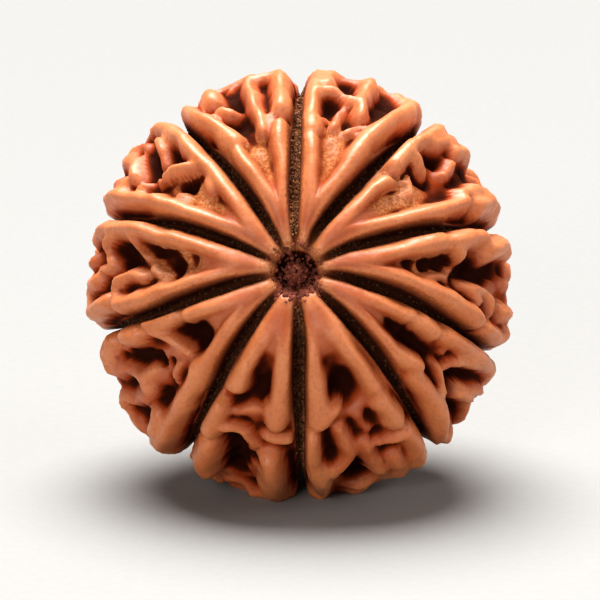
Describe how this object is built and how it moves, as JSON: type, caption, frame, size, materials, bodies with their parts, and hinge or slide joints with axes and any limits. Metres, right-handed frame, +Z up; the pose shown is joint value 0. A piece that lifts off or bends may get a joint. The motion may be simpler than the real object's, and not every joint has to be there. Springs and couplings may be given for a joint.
{
  "type": "rudraksha seed",
  "caption": "Round furrowed seed stone with ridged, worm-patterned lobes and a sunken stalk end, lying on its side.",
  "frame": {"origin": "middle of the seed's footprint, on the surface that it lies on", "axes": "+Z up, +Y from the stalk end towards the far end as the seed lies on its side, +X to the right as the stalk end is looked at"},
  "size_m": [0.0246, 0.021, 0.0242],
  "materials": {
    "seed_stone": "satin"
  },
  "bodies": {
    "root": {"stone": "seed_stone"}
  },
  "joints": []
}
